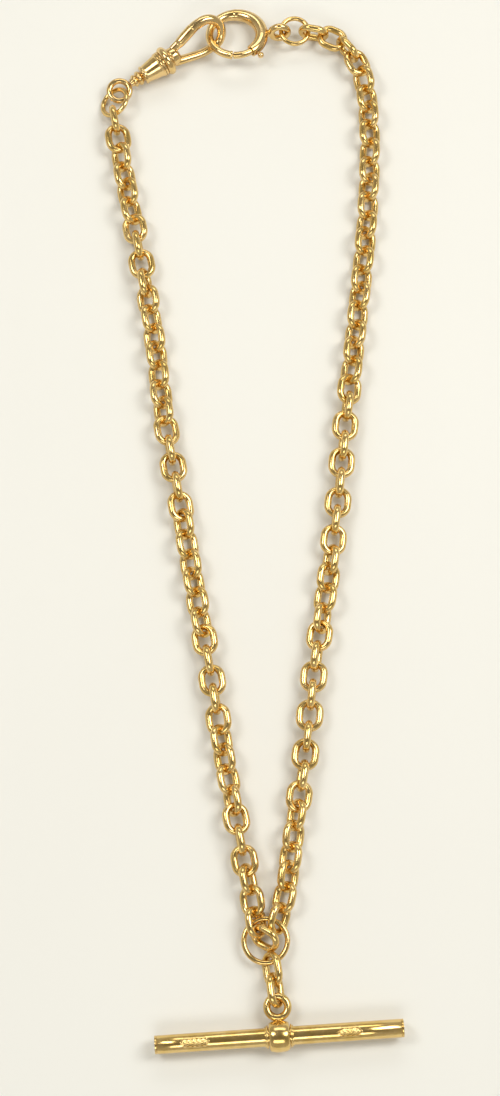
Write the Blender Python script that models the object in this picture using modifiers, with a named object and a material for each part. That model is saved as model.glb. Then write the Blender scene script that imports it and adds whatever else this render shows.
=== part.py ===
"""Pocket watch chain: a double Albert with a T-bar, laid out flat and closed on itself.

Two lengths of oval links leave a centre ring. One ends in a swivelling dog clip, the other in a
bolt ring, and the clip's hook is closed through the bolt ring. A two-link drop carries the T-bar.

Layout values are millimetres. The layout's zero is the middle of the T-bar, +Y runs up the chain
and +Z up from the table. Objects are made in metres about the middle of the whole outline.
"""

import math

import bmesh
import bpy
from mathutils import Matrix, Vector

MM = 0.001
OUTLINE_MIDDLE = Vector((-6.1, 98.7, 0.0))
UP = Vector((0.0, 0.0, 1.0))

# Chain links: oval loops of wire, thinner in the plane of the loop at the two ends.
LINK_LENGTH = 5.95
LINK_WIDTH = 5.0
LIMB_WIRE = 1.28
END_WIRE = 1.10
LINK_STEPS = 8
LINK_SIDES = 6
RUN_OVERLAP = 0.16  # how far neighbours that are joined in one run sink into each other
LEFT_GAP = 0.3  # clearance where one run hangs in the next
RIGHT_GAP = 0.35
LINK_INSIDE = LINK_LENGTH - 2 * END_WIRE

LEFT_LINKS = 43  # numbered 1 at the clip, and 43 at the centre ring
LEFT_TOP_RUN = 4
RIGHT_LINKS = 49  # numbered 2 at the bolt ring's jump ring, and 50 at the centre ring
RUN_LINKS = 3

# Routes of the two lengths, upwards from the centre ring.
LEFT_ROUTE = (
    (-3.9, 18.8), (-4.9, 24.9), (-7.1, 35.9), (-9.9, 50.2), (-12.3, 65.2), (-15.7, 83.3),
    (-18.3, 98.2), (-21.7, 116.8), (-23.6, 131.8), (-26.2, 146.8), (-29.1, 161.6),
    (-31.1, 172.8), (-32.2, 178.5), (-33.0, 182.5),
)
RIGHT_ROUTE = (
    (-0.5, 19.6), (1.2, 25.7), (2.8, 37.1), (5.1, 52.3), (6.7, 66.7), (9.0, 81.7), (11.0, 96.1),
    (12.9, 114.4), (15.4, 135.8), (17.4, 154.8), (18.2, 170.0), (17.9, 180.0), (16.9, 186.2),
    (14.6, 190.8), (11.6, 193.6), (7.6, 194.9), (2.0, 195.6),
)
# Roll of each length about its own line: (link number, degrees), where 0 lays an odd left link
# or an even right link flat, and its neighbours stand on edge.
LEFT_ROLL = (
    (1, 90), (2, 78), (3, 50), (6, 42), (8, 5), (9, 0), (11, 38), (17, 50), (19, 86), (21, 86),
    (23, 50), (28, 38), (30, 3), (32, 6), (34, 44), (36, 48), (39, 88), (41, 118), (43, 132),
)
RIGHT_ROLL = (
    (2, 88), (4, 84), (6, 50), (22, 45), (24, 80), (30, 88), (33, 52), (36, 20), (38, 3),
    (42, 0), (44, -20), (46, -46), (50, -50),
)

# Centre ring and the drop.
CENTRE_RING_AT = Vector((-2.415, 17.25, 2.1))
CENTRE_RING_RADIUS = 3.95
CENTRE_RING_WIRE = 1.0
CENTRE_RING_NORMAL = Vector((-0.026, -0.007, 1.0))
SPARE_LINK_AT = Vector((-2.56, 17.75, 2.28))
SPARE_LINK_HEADING = math.radians(-29.4)
SPARE_LINK_SLOPE = math.radians(20.9)
SPARE_LINK_ROLL = math.radians(-48.5)
DROP_LENGTH = 6.4
DROP_WIDTH = 5.0
DROP_LINKS = (
    # lower inside end, a point towards the upper one, roll in degrees
    ((-0.91, 10.11, 2.38), (-1.63, 14.45, 2.09), 55.6),
    ((-0.45, 6.37, 2.88), (-0.86, 9.97, 2.41), -62.7),
)

# T-bar: a tube with a turning bulb between two collars.
BAR_AT = Vector((0.0, 0.3, 2.8))
BAR_HEADING = math.radians(3.85)
BAR_LENGTH = 44.6
BAR_RADIUS = 1.65
BAR_BORE = 1.15
CAP_LIP = 0.35
CAP_PLUG = 2.0
BULB_RADIUS = 2.8
BULB_WIDTH = 3.7
COLLAR_RADIUS = 2.1
COLLAR_WIDTH = 0.6
TURN_GAP = 0.12  # bulb to bar and bulb to collars
FIXED_GAP = 0.05  # between pieces that are soldered or pressed together
BAR_EYE_RADIUS = 1.78
BAR_EYE_WIRE = 1.1

# Bolt ring: a tapering hollow ring with a sprung bolt across its mouth. Angles run from the eye.
BOLT_RING_AT = Vector((-8.1, 194.2, 2.95))
BOLT_RING_TILT = math.radians(15.5)
BOLT_RING_HEADING = math.radians(4.0)
BOLT_RING_RADIUS = 5.15
TUBE_THICK = 1.3
TUBE_THIN = 0.78
CAVITY_RADIUS = 0.86
BOLT_RADIUS = 0.68
MOUTH_FROM, MOUTH_TO = -100.0, -57.0
BOLT_TIP, BOLT_TAIL = -103.0, -26.0
SOCKET_END = -106.0
CAVITY_END = 64.0
KNOB_ANGLE = -50.0
BOLT_TRAVEL = 36.0
SLOT_WIDTH = 1.04
SLOT_RADIUS = 6.2
SPRING_TURNS = 6
BOLT_EYE_RADIUS = 1.6
BOLT_EYE_WIRE = 1.2
JUMP_RADIUS = 2.7
JUMP_WIRE = 0.96
RIGHT_JUMP_AT = Vector((3.6, 195.15, 2.75))
RIGHT_JUMP_NORMAL = Vector((0.056, 0.002, 1.0))

# Dog clip. Local X runs from the swivel eye to the hook's nose and local Y across the loop.
CLIP_AT = Vector((-22.0, 188.5, 3.05))
CLIP_HEADING = math.radians(33.5)
CLIP_SLOPE = math.radians(4.0)
CLIP_ROLL = math.radians(48.0)
SWIVEL_EYE_X = -10.7
SWIVEL_EYE_RADIUS = 2.0
SWIVEL_EYE_WIRE = 1.15
SWIVEL_EYE_ROLL = math.radians(-42.0)  # against the loop's roll, so that the eye faces up
LEVER_PIVOT = Vector((2.8, 1.1, 0.0))
LEVER_ROOT_RADIUS = 0.62
ARM_RADIUS = 0.82
NOSE_RADIUS = 1.0
HOOK_BEND_AT = 10.1
HOOK_BEND_RADIUS = 2.95
LEFT_JUMP_AT = Vector((-31.82, 180.21, 2.18))
LEFT_JUMP_RADIUS = 2.85
LEFT_JUMP_HEADING = math.radians(72.0)
LEFT_JUMP_TILT = math.radians(-35.4)


# ---------------------------------------------------------------- scene and materials

def clear_scene():
    for obj in list(bpy.data.objects):
        bpy.data.objects.remove(obj, do_unlink=True)


def new_collection(name):
    collection = bpy.data.collections.new(name)
    bpy.context.scene.collection.children.link(collection)
    return collection


def metal(name, color, roughness):
    material = bpy.data.materials.new(name)
    material.use_nodes = True
    shader = material.node_tree.nodes["Principled BSDF"]
    shader.inputs["Base Color"].default_value = (*color, 1.0)
    shader.inputs["Metallic"].default_value = 1.0
    shader.inputs["Roughness"].default_value = roughness
    return material


clear_scene()
CHAIN = new_collection("pocket_watch_chain")
GUIDES = new_collection("cutters_and_guides")
LINK_GOLD = metal("link_gold", (0.83, 0.58, 0.22), 0.2)
RING_GOLD = metal("ring_gold", (0.83, 0.58, 0.22), 0.16)
BAR_GOLD = metal("bar_gold", (0.82, 0.56, 0.2), 0.22)
CLASP_GOLD = metal("clasp_gold", (0.84, 0.57, 0.23), 0.18)
SPRING_STEEL = metal("spring_steel", (0.6, 0.6, 0.62), 0.3)


# ---------------------------------------------------------------- placing and making objects

def at(point):
    """The world place, in metres, of a layout point in millimetres."""
    return (Vector(point).to_3d() - OUTLINE_MIDDLE) * MM


def frame(point, x_axis, y_axis):
    """A matrix that puts local X and Y along two square directions at a layout point."""
    x = Vector(x_axis).normalized()
    z = x.cross(Vector(y_axis)).normalized()
    rotation = Matrix((x, z.cross(x), z)).transposed().to_4x4()
    return Matrix.Translation(at(point)) @ rotation


def local(matrix, x=0.0, y=0.0, z=0.0):
    """A frame moved along its own axes by millimetres."""
    return matrix @ Matrix.Translation(Vector((x, y, z)) * MM)


def file_object(obj, name, material):
    """Name an object and move it into the chain's collection."""
    for collection in list(obj.users_collection):
        collection.objects.unlink(obj)
    CHAIN.objects.link(obj)
    obj.name = name
    obj.data.name = name
    obj.data.materials.clear()
    obj.data.materials.append(material)
    return obj


def make_guide(obj):
    """Keep a cutter or an operand out of the model."""
    for collection in list(obj.users_collection):
        collection.objects.unlink(obj)
    GUIDES.objects.link(obj)
    obj.hide_render = True
    obj.display_type = "WIRE"
    return obj


def boolean(obj, other, operation):
    modifier = obj.modifiers.new(operation.title(), "BOOLEAN")
    modifier.operation = operation
    modifier.object = make_guide(other)
    modifier.solver = "EXACT"
    return obj


def torus(name, matrix, radius, wire, material, steps=24, sides=10):
    bpy.ops.mesh.primitive_torus_add(
        major_segments=steps, minor_segments=sides,
        major_radius=radius * MM, minor_radius=wire / 2 * MM,
    )
    ring = file_object(bpy.context.object, name, material)
    ring.matrix_world = matrix
    ring.data.shade_smooth()
    return ring


def turned(name, matrix, profile, material, steps=24, closed=False):
    """A solid turned about local Z. The profile's (radius, height) points run down its outside.

    A closed profile makes a ring; an open one starts and ends on the axis.
    """
    mesh = bpy.data.meshes.new(name)
    points = [(radius * MM, 0.0, height * MM) for radius, height in profile]
    edges = [(i, i + 1) for i in range(len(points) - 1)]
    if closed:
        edges.append((len(points) - 1, 0))
    mesh.from_pydata(points, edges, [])
    obj = file_object(new_in_scene(name, mesh), name, material)
    obj.matrix_world = matrix
    screw = obj.modifiers.new("Turn", "SCREW")
    screw.axis = "Z"
    screw.angle = math.tau
    screw.steps = screw.render_steps = steps
    screw.use_merge_vertices = True
    screw.merge_threshold = 0.000001
    screw.use_smooth_shade = True
    return obj


def new_in_scene(name, data):
    obj = bpy.data.objects.new(name, data)
    bpy.context.scene.collection.objects.link(obj)
    return obj


def wire(name, matrix, points, radii, material, resolution=2, cyclic=False):
    """A mesh tube along local points, with its own radius at each one and closed ends."""
    data = bpy.data.curves.new(name, "CURVE")
    data.dimensions = "3D"
    data.bevel_depth = MM
    data.bevel_resolution = resolution
    data.use_fill_caps = not cyclic
    spline = data.splines.new("POLY")
    spline.points.add(len(points) - 1)
    for target, point, radius in zip(spline.points, points, radii):
        target.co = (*(Vector(point) * MM), 1.0)
        target.radius = radius
    spline.use_cyclic_u = cyclic
    curve = new_in_scene(name, data)
    curve.matrix_world = matrix
    return curve_to_mesh(curve, name, material)


def curve_to_mesh(curve, name, material):
    """Replace a curve with its welded mesh, so that it can be cut and joined."""
    bpy.context.view_layer.update()
    graph = bpy.context.evaluated_depsgraph_get()
    mesh = bpy.data.meshes.new_from_object(curve.evaluated_get(graph))
    matrix = curve.matrix_world.copy()
    bpy.data.objects.remove(curve, do_unlink=True)
    weld(mesh)
    mesh.shade_smooth()
    obj = file_object(new_in_scene(name, mesh), name, material)
    obj.matrix_world = matrix
    return obj


def weld(mesh):
    """Close the seams between a tube's caps and its sides."""
    made = bmesh.new()
    made.from_mesh(mesh)
    bmesh.ops.remove_doubles(made, verts=made.verts, dist=0.000001)
    bmesh.ops.recalc_face_normals(made, faces=made.faces)
    made.to_mesh(mesh)
    made.free()


def cylinder(name, matrix, radius, length, material, steps=16):
    """A round bar centred on the frame, along its local Z."""
    bpy.ops.mesh.primitive_cylinder_add(vertices=steps, radius=radius * MM, depth=length * MM)
    obj = file_object(bpy.context.object, name, material)
    obj.matrix_world = matrix
    return obj


def block(name, matrix, size, material):
    """A box centred on the frame."""
    bpy.ops.mesh.primitive_cube_add(size=MM)
    obj = file_object(bpy.context.object, name, material)
    obj.data.transform(Matrix.Diagonal((*size, 1.0)))
    obj.matrix_world = matrix
    return obj


def move_origin(obj, point):
    """Put an object's origin on a world point without moving its shape."""
    shift = obj.matrix_world.inverted() @ point
    obj.data.transform(Matrix.Translation(-shift))
    obj.matrix_world = obj.matrix_world @ Matrix.Translation(shift)


# ---------------------------------------------------------------- routes and rolls

def smooth_route(points, samples=60):
    """Close-set points of the smooth curve through hand-set ones."""
    knots = [Vector(p) for p in points]
    ends = [2 * knots[0] - knots[1]] + knots + [2 * knots[-1] - knots[-2]]
    curve = []
    for before, start, end, after in zip(ends, ends[1:], ends[2:], ends[3:]):
        for i in range(samples):
            t = i / samples
            curve.append(0.5 * (
                2 * start + (end - before) * t
                + (2 * before - 5 * start + 4 * end - after) * t * t
                + (3 * start - before - 3 * end + after) * t ** 3
            ))
    return curve + [knots[-1]]


def step_along(curve, distances):
    """Points on a curve at set straight distances from one to the next."""
    found, index = [curve[0]], 0
    for distance in distances:
        last = found[-1]
        while index < len(curve) - 2 and (curve[index + 1] - last).length < distance:
            index += 1
        a, b = (curve[index] - last).length, (curve[index + 1] - last).length
        share = (distance - a) / (b - a)
        found.append(curve[index].lerp(curve[index + 1], share))
    return found


def roll_at(knots, number):
    """The roll of a length at one link, in radians, with its every second link square to it."""
    for (first, start), (last, end) in zip(knots, knots[1:]):
        if number <= last:
            share = (number - first) / (last - first)
            return math.radians(start + (end - start) * share)
    return math.radians(knots[-1][1])


def link_heights(rolls):
    """Each link's middle height, raised smoothly where links stand on edge."""
    side = (LINK_WIDTH - LIMB_WIRE) / 2
    lowest = [LIMB_WIRE / 2 + side * abs(math.sin(roll)) for roll in rolls]

    def near(values, i, reach):
        return values[max(i - reach, 0):i + reach + 1]

    raised = [max(near(lowest, i, 2)) for i in range(len(rolls))]
    return [sum(near(raised, i, 1)) / len(near(raised, i, 1)) for i in range(len(rolls))]


def run_sizes(count, top_run):
    """How many links each run has, upwards from the centre ring."""
    sizes = [RUN_LINKS] * ((count - top_run) // RUN_LINKS)
    return sizes + ([top_run] if top_run else [])


def link_frame(middle, along, turn):
    """A link's frame: local X along it and local Y across it, rolled about its own line."""
    side = UP.cross(along).normalized()
    across = side * math.cos(turn) - along.cross(side) * math.sin(turn)
    return frame(middle, along, across)


def chain_layout(route, sizes, gap, rolls, numbers):
    """Contact points, link frames and heights of one length, upwards from the centre ring."""
    breaks = {sum(sizes[:i]) for i in range(len(sizes) + 1)}
    slack = [gap if i in breaks else -RUN_OVERLAP for i in range(sum(sizes) + 1)]
    distances = [LINK_INSIDE - (a + b) / 2 for a, b in zip(slack, slack[1:])]
    flat = step_along(smooth_route(route), distances)
    turns = [roll_at(rolls, n) + (0 if (n - numbers[-1]) % 2 == 0 else math.pi / 2)
             for n in numbers]
    heights = link_heights(turns)
    levels = [heights[0]] + [(a + b) / 2 for a, b in zip(heights, heights[1:])] + [heights[-1]]
    contacts = [Vector((*p, z)) for p, z in zip(flat, levels)]
    frames = []
    for i, turn in enumerate(turns):
        low, high = contacts[i], contacts[i + 1]
        along = (high - low).normalized()
        middle = (low + high) / 2 + along * (slack[i + 1] - slack[i]) / 4
        frames.append(link_frame(middle, along, turn))
    return contacts, frames


def left_layout():
    numbers = list(range(LEFT_LINKS, 0, -1))
    sizes = run_sizes(LEFT_LINKS, LEFT_TOP_RUN)
    return chain_layout(LEFT_ROUTE, sizes, LEFT_GAP, LEFT_ROLL, numbers), sizes


def right_layout():
    numbers = list(range(RIGHT_LINKS + 1, 1, -1))
    lower = run_sizes(LEFT_LINKS, LEFT_TOP_RUN)
    upper = run_sizes(RIGHT_LINKS - LEFT_LINKS, 0)
    sizes = lower + upper
    return chain_layout(RIGHT_ROUTE, sizes, RIGHT_GAP, RIGHT_ROLL, numbers), sizes


# ---------------------------------------------------------------- links, rings and the drop

def link(name, matrix, length, width, material, steps=LINK_STEPS, sides=LINK_SIDES):
    """One oval link, flat in its local XY plane and long along X."""
    bend = (width - LIMB_WIRE) / 2
    half_limb = length / 2 - bend - END_WIRE / 2
    obj = torus(name, matrix, bend, LIMB_WIRE, material, steps, sides)
    for vertex in obj.data.vertices:
        x, y, z = vertex.co / MM
        reach = math.hypot(x, y)
        lean = x / reach
        thin = 1 - (1 - END_WIRE / LIMB_WIRE) * lean * lean
        reach_now = bend + (reach - bend) * thin
        shift = math.copysign(half_limb, lean) if abs(lean) > 0.001 else 0.0
        vertex.co = Vector((lean * reach_now + shift, y / reach * reach_now, z)) * MM
    return obj


def link_run(name, frames, joint_at):
    """Neighbouring links joined where they touch, with their origin on their lower joint."""
    first, *others = [
        link(name if i == 0 else f"{name}_link_{i + 1}", matrix, LINK_LENGTH, LINK_WIDTH,
             LINK_GOLD)
        for i, matrix in enumerate(frames)
    ]
    for other in others:
        boolean(first, other, "UNION")
    move_origin(first, at(joint_at))
    return first


def chain_length(side, contacts, frames, sizes):
    start = 0
    for number, size in enumerate(sizes, 1):
        name = f"{side}_chain_run_{number:02d}"
        link_run(name, frames[start:start + size], contacts[start])
        start += size


def centre_ring_frame():
    tilt = UP.rotation_difference(CENTRE_RING_NORMAL).to_matrix().to_4x4()
    return Matrix.Translation(at(CENTRE_RING_AT)) @ tilt


def spare_link_frame():
    ahead = Vector((math.cos(SPARE_LINK_HEADING), math.sin(SPARE_LINK_HEADING), 0.0))
    along = ahead * math.cos(SPARE_LINK_SLOPE) + UP * math.sin(SPARE_LINK_SLOPE)
    return link_frame(SPARE_LINK_AT, along, SPARE_LINK_ROLL)


def drop_frames():
    """Each drop link's frame and the inside of its upper end, downwards from the ring."""
    frames = []
    inside = DROP_LENGTH - 2 * END_WIRE
    for low, towards, roll in DROP_LINKS:
        low = Vector(low)
        along = (Vector(towards) - low).normalized()
        frames.append((link_frame(low + along * inside / 2, along, math.radians(roll)),
                       low + along * inside))
    return frames


def centre_and_drop(spare_at):
    spare = link("spare_link", spare_link_frame(), LINK_LENGTH, LINK_WIDTH, LINK_GOLD)
    move_origin(spare, at(spare_at))
    torus("centre_ring", centre_ring_frame(), CENTRE_RING_RADIUS, CENTRE_RING_WIRE, RING_GOLD, 24, 6)
    for number, (matrix, top) in enumerate(drop_frames(), 1):
        obj = link(f"drop_link_{number}", matrix, DROP_LENGTH, DROP_WIDTH, LINK_GOLD, 12, 6)
        move_origin(obj, at(top))


# ---------------------------------------------------------------- T-bar

def bar_frame():
    """Local Z along the bar to its right end, and local X towards the eye."""
    along = Vector((math.cos(BAR_HEADING), math.sin(BAR_HEADING), 0.0))
    to_eye = UP.cross(along)
    return frame(BAR_AT, to_eye, along.cross(to_eye))


def t_bar():
    matrix = bar_frame()
    half = BAR_LENGTH / 2 - CAP_LIP - FIXED_GAP
    tube = [(BAR_RADIUS, half), (BAR_RADIUS, -half), (BAR_BORE, -half), (BAR_BORE, half)]
    turned("t_bar_tube", matrix, tube, BAR_GOLD, 20, closed=True)

    lip = BAR_LENGTH / 2
    plug = BAR_BORE - FIXED_GAP
    cap = [
        (0.0, lip), (BAR_RADIUS - 0.12, lip), (BAR_RADIUS, lip - 0.12), (BAR_RADIUS, lip - CAP_LIP),
        (plug, lip - CAP_LIP), (plug, lip - CAP_PLUG), (0.0, lip - CAP_PLUG),
    ]
    flipped = matrix @ Matrix.Rotation(math.pi, 4, "X")
    turned("t_bar_cap_right", matrix, cap, BAR_GOLD, 20)
    turned("t_bar_cap_left", flipped, cap, BAR_GOLD, 20)

    inner = BULB_WIDTH / 2 + TURN_GAP
    bore = BAR_RADIUS + FIXED_GAP
    round_off = COLLAR_WIDTH / 4
    collar = [
        (COLLAR_RADIUS - round_off, inner + COLLAR_WIDTH),
        (COLLAR_RADIUS, inner + COLLAR_WIDTH - round_off), (COLLAR_RADIUS, inner + round_off),
        (COLLAR_RADIUS - round_off, inner), (bore, inner), (bore, inner + COLLAR_WIDTH),
    ]
    turned("t_bar_collar_right", matrix, collar, BAR_GOLD, 20, closed=True)
    turned("t_bar_collar_left", flipped, collar, BAR_GOLD, 20, closed=True)

    turned("t_bar_bulb", matrix, bulb_profile(), BAR_GOLD, 18, closed=True)
    eye_out = BULB_RADIUS + FIXED_GAP + BAR_EYE_RADIUS + BAR_EYE_WIRE / 2
    eye = local(matrix, eye_out) @ Matrix.Rotation(math.pi / 2, 4, "X")
    torus("t_bar_eye", eye, BAR_EYE_RADIUS, BAR_EYE_WIRE, BAR_GOLD, 20, 8)


def bulb_profile():
    """A barrel-shaped bulb with a bore, as a closed loop of radius and height."""
    half = BULB_WIDTH / 2
    bore = BAR_RADIUS + TURN_GAP
    crown = BULB_RADIUS - bore
    steps = 8
    arc = []
    for i in range(steps + 1):
        angle = math.pi * i / steps
        arc.append((bore + 0.25 + (crown - 0.25) * math.sin(angle) ** 0.7, half * math.cos(angle)))
    return arc + [(bore, -half), (bore, half)]


# ---------------------------------------------------------------- bolt ring

def bolt_ring_frame():
    """Local X towards the eye and local Z square to the ring."""
    ahead = Vector((math.cos(BOLT_RING_HEADING), math.sin(BOLT_RING_HEADING), 0.0))
    across = UP.cross(ahead)
    lowered = across * math.cos(BOLT_RING_TILT) - UP * math.sin(BOLT_RING_TILT)
    return frame(BOLT_RING_AT, ahead, lowered)


def arc_points(start, end, count, radius=BOLT_RING_RADIUS):
    """Points on the bolt ring's own circle, between two angles in degrees."""
    angles = [math.radians(start + (end - start) * i / (count - 1)) for i in range(count)]
    return [(radius * math.cos(a), radius * math.sin(a), 0.0) for a in angles]


def tube_radius(angle):
    """The ring's tube is thickest at the eye and thins towards the far side."""
    share = min(max((angle - 25.0) / 150.0, 0.0), 1.0)
    eased = share * share * (3 - 2 * share)
    taper = 0.12 * min(max((-angle - 10.0) / 47.0, 0.0), 1.0)
    return TUBE_THICK - taper - (TUBE_THICK - TUBE_THIN) * eased


def bolt_ring():
    matrix = bolt_ring_frame()
    far_end = MOUTH_FROM + 360.0
    count = 26
    radii = [tube_radius(MOUTH_TO + (far_end - MOUTH_TO) * i / (count - 1)) for i in range(count)]
    tube = wire("bolt_ring_tube", matrix, arc_points(MOUTH_TO, far_end, count), radii, CLASP_GOLD, 2)
    cavity = wire("bolt_ring_cavity", matrix, arc_points(MOUTH_TO - 8, CAVITY_END, 14),
                  [CAVITY_RADIUS] * 14, CLASP_GOLD, 2)
    boolean(tube, cavity, "DIFFERENCE")
    socket = wire("bolt_ring_socket", matrix, arc_points(SOCKET_END, MOUTH_FROM + 4, 4),
                  [BOLT_RADIUS * 0.62] * 4, CLASP_GOLD, 2)
    boolean(tube, socket, "DIFFERENCE")
    slot = wire("bolt_ring_slot", matrix,
                arc_points(KNOB_ANGLE - 5, KNOB_ANGLE + BOLT_TRAVEL + 6, 9, SLOT_RADIUS),
                [SLOT_WIDTH / 2] * 9, CLASP_GOLD, 2)
    boolean(tube, slot, "DIFFERENCE")
    move_origin(tube, matrix.translation)

    tip = [BOLT_RADIUS * 0.45] * 2 + [BOLT_RADIUS] * 12
    bolt_arc = arc_points(BOLT_TIP, BOLT_TIP + 4.5, 2) + arc_points(BOLT_TIP + 5.5, BOLT_TAIL, 12)
    wire("bolt_ring_bolt", matrix, bolt_arc, tip, CLASP_GOLD, 2)

    turn = matrix @ Matrix.Rotation(math.radians(KNOB_ANGLE), 4, "Z")
    knob_foot = BOLT_RING_RADIUS + BOLT_RADIUS + FIXED_GAP
    knob_frame = local(turn, knob_foot) @ Matrix.Rotation(math.pi / 2, 4, "Y")
    knob = turned("bolt_ring_knob", knob_frame, knob_profile(), CLASP_GOLD, 14)
    move_origin_of_turned(knob, matrix)

    spring_coil(matrix)
    eye_x = BOLT_RING_RADIUS + TUBE_THICK + FIXED_GAP + BOLT_EYE_RADIUS + BOLT_EYE_WIRE / 2
    eye = local(matrix, eye_x) @ Matrix.Rotation(math.pi / 2, 4, "X")
    torus("bolt_ring_eye", eye, BOLT_EYE_RADIUS, BOLT_EYE_WIRE, CLASP_GOLD, 16, 8)


def knob_profile():
    """A ball on a short stalk, from its top down to the bolt."""
    ball, stalk, length = 0.62, 0.3, 1.3
    steps = 6
    reach = math.pi - math.asin(stalk / ball)
    arc = [(ball * math.sin(reach * i / steps), length + ball * math.cos(reach * i / steps))
           for i in range(steps + 1)]
    return arc + [(stalk, 0.0), (0.0, 0.0)]


def move_origin_of_turned(obj, matrix):
    """Hang a turned piece from an empty on the joint axis, since its own origin is its turning axis."""
    pivot = bpy.data.objects.new(obj.name + "_pivot", None)
    CHAIN.objects.link(pivot)
    pivot.matrix_world = matrix
    obj.parent = pivot
    obj.matrix_parent_inverse = matrix.inverted()


def spring_coil(matrix):
    """The coil behind the bolt, wound along the ring's own circle."""
    coil_radius, coil_wire = 0.55, 0.11
    per_turn = 6
    start, end = BOLT_TAIL + 3.0, CAVITY_END - 4.0
    count = SPRING_TURNS * per_turn + 1
    points = []
    for i in range(count):
        angle = math.radians(start + (end - start) * i / (count - 1))
        wind = math.tau * i / per_turn
        reach = BOLT_RING_RADIUS + coil_radius * math.cos(wind)
        points.append((reach * math.cos(angle), reach * math.sin(angle), coil_radius * math.sin(wind)))
    wire("bolt_ring_spring", matrix, points, [coil_wire] * count, SPRING_STEEL, 1)


def right_jump_ring(contact):
    """The round ring between the bolt ring's eye and the right length."""
    tilt = UP.rotation_difference(RIGHT_JUMP_NORMAL).to_matrix().to_4x4()
    matrix = Matrix.Translation(at(RIGHT_JUMP_AT)) @ tilt
    ring = torus("right_jump_ring", matrix, JUMP_RADIUS, JUMP_WIRE, RING_GOLD, 20, 6)
    move_origin(ring, at(contact))


# ---------------------------------------------------------------- dog clip

def clip_frame():
    """Local X along the clip to its nose, local Y across the loop to the lever."""
    ahead = Vector((math.cos(CLIP_HEADING), math.sin(CLIP_HEADING), 0.0))
    side = UP.cross(ahead)
    along = ahead * math.cos(CLIP_SLOPE) + UP * math.sin(CLIP_SLOPE)
    lift = along.cross(side)
    across = side * math.cos(CLIP_ROLL) + lift * math.sin(CLIP_ROLL)
    return frame(CLIP_AT, along, across)


def across_to_up(matrix):
    """Turn a frame so that its local Z runs along its old local X."""
    return matrix @ Matrix.Rotation(math.pi / 2, 4, "Y")


def dog_clip():
    matrix = clip_frame()
    spindle = across_to_up(matrix)  # heights of turned pieces run along the clip

    barrel = [
        (2.5, -1.05), (2.5, -1.5), (1.75, -4.6), (1.85, -4.8), (1.85, -5.15), (1.65, -5.3),
        (0.95, -5.3), (0.95, -4.5), (1.6, -4.2), (1.6, -1.05),
    ]
    turned("clip_barrel", spindle, barrel, CLASP_GOLD, 18, closed=True)

    collar = [(0.0, 1.2), (2.15, 1.2)]
    collar += bead(2.2, 0.3, 0.8, 0.75)
    collar += [(2.5, -0.6), (2.5, -1.0), (0.0, -1.0)]
    turned("clip_collar", spindle, collar, CLASP_GOLD, 18)

    eye_edge = SWIVEL_EYE_X + SWIVEL_EYE_RADIUS + SWIVEL_EYE_WIRE / 2 + FIXED_GAP
    post = [(0.0, -1.6), (1.35, -1.6), (1.35, -2.3), (0.8, -2.5), (0.8, -5.45), (1.1, -5.5)]
    post += bead(0.95, -6.1, 0.5, 0.5) + bead(0.9, -7.1, 0.4, 0.35)
    post += [(0.7, eye_edge), (0.0, eye_edge)]
    turned("clip_swivel_post", spindle, post, CLASP_GOLD, 12)
    eye = local(matrix, SWIVEL_EYE_X) @ Matrix.Rotation(SWIVEL_EYE_ROLL, 4, "X")
    torus("clip_swivel_eye", eye, SWIVEL_EYE_RADIUS, SWIVEL_EYE_WIRE, CLASP_GOLD, 18, 8)
    clip_hook(matrix)
    clip_lever(matrix)


def bead(base, middle, half, rise):
    """A half-round rib of a turned profile, from its higher side to its lower one."""
    steps = 5
    return [
        (base + rise * math.sin(math.pi * i / steps), middle + half * math.cos(math.pi * i / steps))
        for i in range(steps + 1)
    ]


def hook_line():
    """The hook's centre line and radii: lower arm, round end and nose."""
    arm = [(1.9, -1.25), (4.2, -1.95), (7.0, -2.75), (9.0, -2.95)]
    bend = []
    steps = 10
    for i in range(1, steps + 1):
        angle = math.radians(-90 + 180 * i / steps)
        bend.append((HOOK_BEND_AT + HOOK_BEND_RADIUS * math.cos(angle),
                     HOOK_BEND_RADIUS * math.sin(angle)))
    nose = [(8.9, 2.93), (7.95, 2.78)]
    points = [(x, y, 0.0) for x, y in arm + bend + nose]
    arm_radii = [1.0, 0.95, ARM_RADIUS, ARM_RADIUS]
    bend_radii = [ARM_RADIUS + (NOSE_RADIUS - ARM_RADIUS) * i / steps for i in range(steps)]
    return points, arm_radii + bend_radii + [NOSE_RADIUS, NOSE_RADIUS]


def clip_hook(matrix):
    points, radii = hook_line()
    hook = wire("clip_hook", matrix, points, radii, CLASP_GOLD, 2)
    root = turned("clip_hook_root", across_to_up(matrix),
                  [(0.0, 3.2), (1.2, 3.2), (1.75, 2.7), (1.9, 1.25), (0.0, 1.25)], CLASP_GOLD, 16)
    boolean(hook, root, "UNION")
    slot = block("clip_hook_slot", local(matrix, 3.3, 1.5), (2.4, 3.0, 1.4), CLASP_GOLD)
    boolean(hook, slot, "DIFFERENCE")
    pin_hole = cylinder("clip_hook_pin_hole", local(matrix, LEVER_PIVOT.x, LEVER_PIVOT.y),
                        0.34, 6.0, CLASP_GOLD, 12)
    boolean(hook, pin_hole, "DIFFERENCE")


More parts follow.
